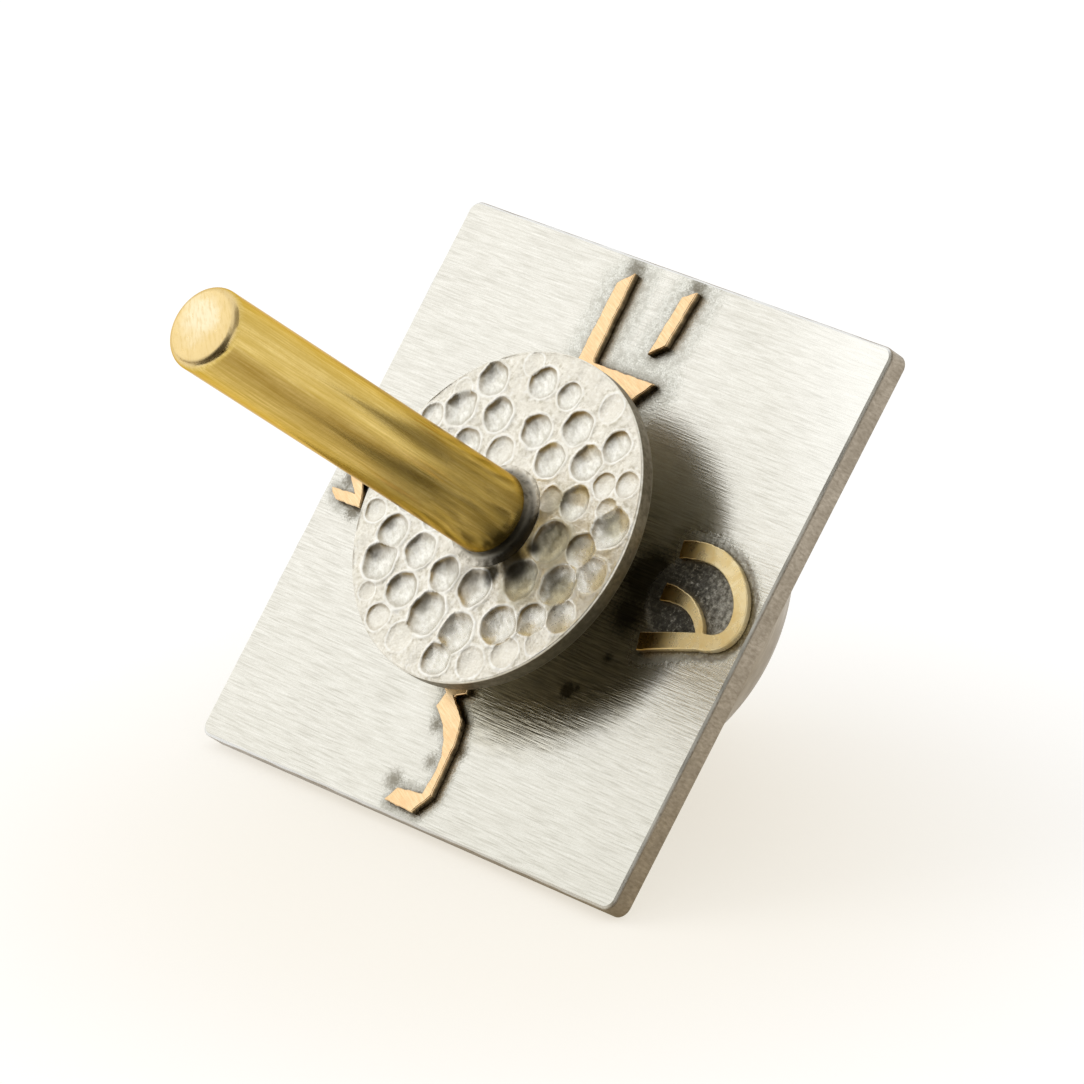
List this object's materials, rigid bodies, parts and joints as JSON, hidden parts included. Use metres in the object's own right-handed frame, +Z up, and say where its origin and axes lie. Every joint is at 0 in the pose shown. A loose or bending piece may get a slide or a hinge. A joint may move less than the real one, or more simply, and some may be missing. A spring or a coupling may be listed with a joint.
{
  "type": "dreidel",
  "caption": "Soldered metal dreidel at rest on its side: square lettered plate, round hammered disc, long brass stem, and a half-round dome with a blunt spinning tip underneath.",
  "frame": {"origin": "on the surface that the top lies on, under the middle of its bounding box", "axes": "+Z up from that surface; X runs along the plate's edge that touches it; the stem leans towards -Y, 51.2 degrees from upright, as the top lies at rest on that edge and on the dome"},
  "size_m": [0.045, 0.0518, 0.0459],
  "materials": {
    "pale_metal": "straight brushed grain, dark heat stain round the letters",
    "dome_metal": "satin, spun and dapped",
    "stem_brass": "satin with lengthwise polishing streaks",
    "hammered_metal": "ball-hammered, satin, darkened in the hollows near the stem",
    "spacer_metal": "dull turned",
    "letter_brass": "sanded flat, sawn sides",
    "solder": "dull grey, slightly grainy"
  },
  "bodies": {
    "root": {"plate": "pale_metal", "dome": "dome_metal", "stem": "stem_brass", "hammered_disc": "hammered_metal", "disc_spacer": "spacer_metal", "letter_nun": "letter_brass", "letter_gimel": "letter_brass", "letter_he": "letter_brass", "letter_he_leg": "letter_brass", "letter_shin": "letter_brass", "stem_solder": "solder", "dome_solder": "solder", "tip_solder": "solder"}
  },
  "joints": []
}
